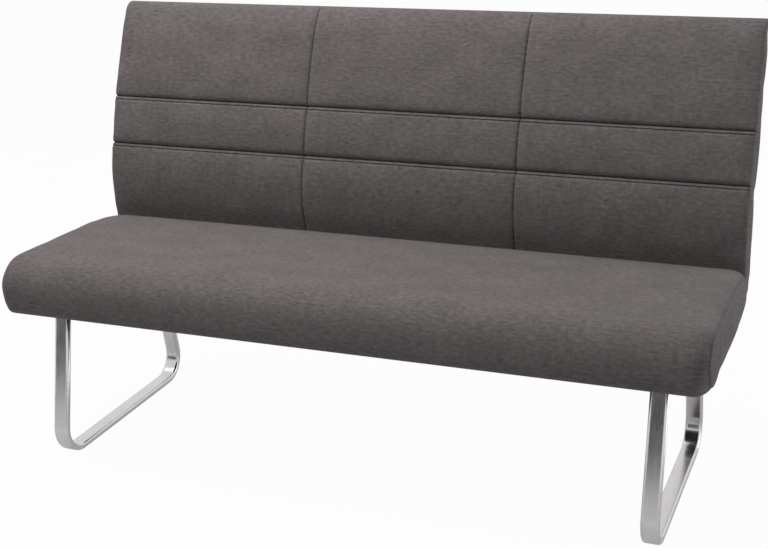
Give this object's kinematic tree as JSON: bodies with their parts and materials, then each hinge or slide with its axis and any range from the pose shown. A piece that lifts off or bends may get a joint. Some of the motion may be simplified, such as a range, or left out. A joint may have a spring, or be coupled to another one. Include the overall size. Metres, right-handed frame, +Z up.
{
  "type": "dining bench",
  "caption": "Long upholstered dining bench with a stitched leaning back, a sprung cushion seat with a rounded front, and bent flat-tube sled legs.",
  "frame": {"origin": "on the floor, under the middle of the bench's box", "axes": "+Z up, +X along the bench to the sitter's left, +Y from the front edge to the back"},
  "size_m": [1.55, 0.672, 0.9576],
  "materials": {
    "legs": "satin brushed stainless steel, grain along the tube",
    "glides": "black plastic",
    "brackets": "black powder coat on flat bar",
    "timber": "sawn beech",
    "plywood": "bent birch plywood",
    "spring_steel": "oiled spring wire and folded clips",
    "fasteners": "zinc plated",
    "felt": "needled felt",
    "foam": "cut polyurethane foam",
    "wadding": "polyester wadding",
    "upholstery": "warm dark grey melange weave with fine slubs",
    "lining": "thin black non-woven cloth"
  },
  "bodies": {
    "root": {"leg_loop_left": "legs", "leg_loop_right": "legs", "floor_glide_front_left": "glides", "floor_glide_front_right": "glides", "floor_glide_rear_left": "glides", "floor_glide_rear_right": "glides", "back_bracket_left": "brackets", "back_bracket_centre": "brackets", "back_bracket_right": "brackets", "seat_front_rail": "timber", "seat_rear_rail": "timber", "seat_end_rail_left": "timber", "seat_end_rail_right": "timber", "seat_cross_rail_left": "timber", "seat_cross_rail_centre": "timber", "seat_cross_rail_right": "timber", "frame_dowels": "timber", "back_panel": "plywood", "seat_springs": "spring_steel", "spring_clips": "spring_steel", "bracket_bolts": "fasteners", "bracket_washers": "fasteners", "seat_tee_nuts": "fasteners", "back_bolts": "fasteners", "back_tee_nuts": "fasteners", "spring_pad": "felt", "seat_foam": "foam", "back_foam": "foam", "back_wadding": "wadding", "seat_cover": "upholstery", "seat_end_panel_left": "upholstery", "seat_end_panel_right": "upholstery", "back_cover_front": "upholstery", "back_cover_rear": "upholstery", "back_side_panel_left": "upholstery", "back_side_panel_right": "upholstery", "dust_cover": "lining", "back_base_strip": "lining"}
  },
  "joints": []
}
